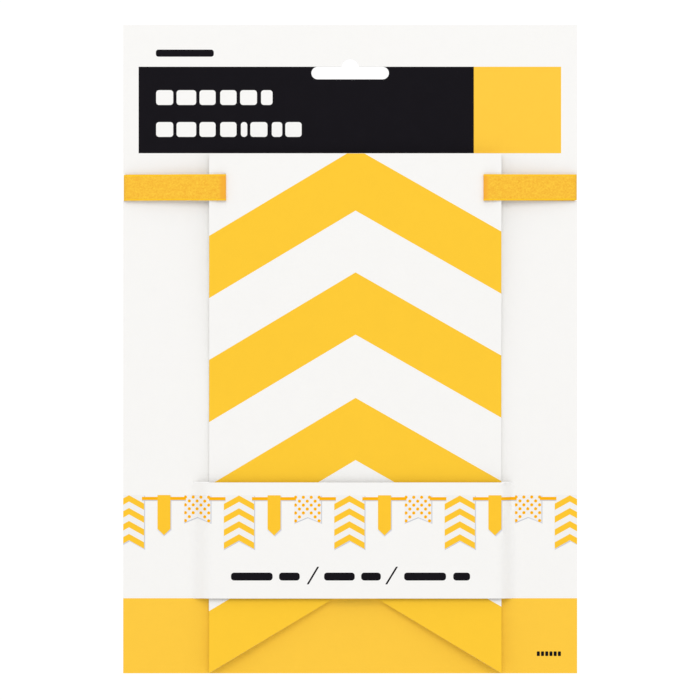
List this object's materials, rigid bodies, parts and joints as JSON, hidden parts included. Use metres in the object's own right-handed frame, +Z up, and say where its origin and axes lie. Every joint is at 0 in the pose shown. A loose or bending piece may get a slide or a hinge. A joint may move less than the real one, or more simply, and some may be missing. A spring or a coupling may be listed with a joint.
{
  "type": "pennant banner kit on hang card",
  "caption": "Flat paperboard hang card holding a stack of swallowtail and pointed paper pennants behind a die-cut strap, with a woven ribbon wound round it to string them on.",
  "frame": {"origin": "the crown of the hang slot, where a peg bears, half way through the card's thickness", "axes": "+Z up the hanging card, -Y out of its printed front, +X to the right seen from the front"},
  "size_m": [0.1778, 0.0099, 0.254],
  "materials": {
    "card_board": "smooth uncoated white paperboard with flat printed bands",
    "chevron_paper": "matte heavy paper printed with broad chevron stripes",
    "dotted_paper": "matte heavy white paper printed with rows of dots",
    "solid_paper": "matte heavy paper printed in one flat colour",
    "woven_ribbon": "soft twill weave with a fine selvedge",
    "clear_tape": "thin clear adhesive tape"
  },
  "bodies": {
    "card_and_ribbon": {"backing_card": "card_board", "chevron_pennant_1": "chevron_paper", "ribbon": "woven_ribbon", "ribbon_tape": "clear_tape"},
    "chevron_pennant_2": {"chevron_pennant_2": "chevron_paper"},
    "chevron_pennant_3": {"chevron_pennant_3": "chevron_paper"},
    "chevron_pennant_4": {"chevron_pennant_4": "chevron_paper"},
    "chevron_pennant_5": {"chevron_pennant_5": "chevron_paper"},
    "chevron_pennant_6": {"chevron_pennant_6": "chevron_paper"},
    "chevron_pennant_7": {"chevron_pennant_7": "chevron_paper"},
    "dotted_pennant_1": {"dotted_pennant_1": "dotted_paper"},
    "dotted_pennant_2": {"dotted_pennant_2": "dotted_paper"},
    "dotted_pennant_3": {"dotted_pennant_3": "dotted_paper"},
    "dotted_pennant_4": {"dotted_pennant_4": "dotted_paper"},
    "dotted_pennant_5": {"dotted_pennant_5": "dotted_paper"},
    "dotted_pennant_6": {"dotted_pennant_6": "dotted_paper"},
    "solid_pennant_1": {"solid_pennant_1": "solid_paper"},
    "solid_pennant_2": {"solid_pennant_2": "solid_paper"},
    "solid_pennant_3": {"solid_pennant_3": "solid_paper"},
    "solid_pennant_4": {"solid_pennant_4": "solid_paper"},
    "solid_pennant_5": {"solid_pennant_5": "solid_paper"},
    "solid_pennant_6": {"solid_pennant_6": "solid_paper"}
  },
  "joints": [
    {"name": "chevron_pennant_2_draw", "type": "slide", "parent": "card_and_ribbon", "child": "chevron_pennant_2", "axis": [0, 0, -1], "range_m": [0, 0.176]},
    {"name": "chevron_pennant_3_draw", "type": "slide", "parent": "card_and_ribbon", "child": "chevron_pennant_3", "axis": [0, 0, -1], "range_m": [0, 0.176]},
    {"name": "chevron_pennant_4_draw", "type": "slide", "parent": "card_and_ribbon", "child": "chevron_pennant_4", "axis": [0, 0, -1], "range_m": [0, 0.176]},
    {"name": "chevron_pennant_5_draw", "type": "slide", "parent": "card_and_ribbon", "child": "chevron_pennant_5", "axis": [0, 0, -1], "range_m": [0, 0.176]},
    {"name": "chevron_pennant_6_draw", "type": "slide", "parent": "card_and_ribbon", "child": "chevron_pennant_6", "axis": [0, 0, -1], "range_m": [0, 0.176]},
    {"name": "chevron_pennant_7_draw", "type": "slide", "parent": "card_and_ribbon", "child": "chevron_pennant_7", "axis": [0, 0, -1], "range_m": [0, 0.176]},
    {"name": "dotted_pennant_1_draw", "type": "slide", "parent": "card_and_ribbon", "child": "dotted_pennant_1", "axis": [0, 0, 1], "range_m": [0, 0.07]},
    {"name": "dotted_pennant_2_draw", "type": "slide", "parent": "card_and_ribbon", "child": "dotted_pennant_2", "axis": [0, 0, 1], "range_m": [0, 0.07]},
    {"name": "dotted_pennant_3_draw", "type": "slide", "parent": "card_and_ribbon", "child": "dotted_pennant_3", "axis": [0, 0, 1], "range_m": [0, 0.07]},
    {"name": "dotted_pennant_4_draw", "type": "slide", "parent": "card_and_ribbon", "child": "dotted_pennant_4", "axis": [0, 0, 1], "range_m": [0, 0.07]},
    {"name": "dotted_pennant_5_draw", "type": "slide", "parent": "card_and_ribbon", "child": "dotted_pennant_5", "axis": [0, 0, 1], "range_m": [0, 0.07]},
    {"name": "dotted_pennant_6_draw", "type": "slide", "parent": "card_and_ribbon", "child": "dotted_pennant_6", "axis": [0, 0, 1], "range_m": [0, 0.07]},
    {"name": "solid_pennant_1_draw", "type": "slide", "parent": "card_and_ribbon", "child": "solid_pennant_1", "axis": [0, 0, 1], "range_m": [0, 0.121]},
    {"name": "solid_pennant_2_draw", "type": "slide", "parent": "card_and_ribbon", "child": "solid_pennant_2", "axis": [0, 0, 1], "range_m": [0, 0.121]},
    {"name": "solid_pennant_3_draw", "type": "slide", "parent": "card_and_ribbon", "child": "solid_pennant_3", "axis": [0, 0, 1], "range_m": [0, 0.121]},
    {"name": "solid_pennant_4_draw", "type": "slide", "parent": "card_and_ribbon", "child": "solid_pennant_4", "axis": [0, 0, 1], "range_m": [0, 0.121]},
    {"name": "solid_pennant_5_draw", "type": "slide", "parent": "card_and_ribbon", "child": "solid_pennant_5", "axis": [0, 0, 1], "range_m": [0, 0.121]},
    {"name": "solid_pennant_6_draw", "type": "slide", "parent": "card_and_ribbon", "child": "solid_pennant_6", "axis": [0, 0, 1], "range_m": [0, 0.121]}
  ]
}
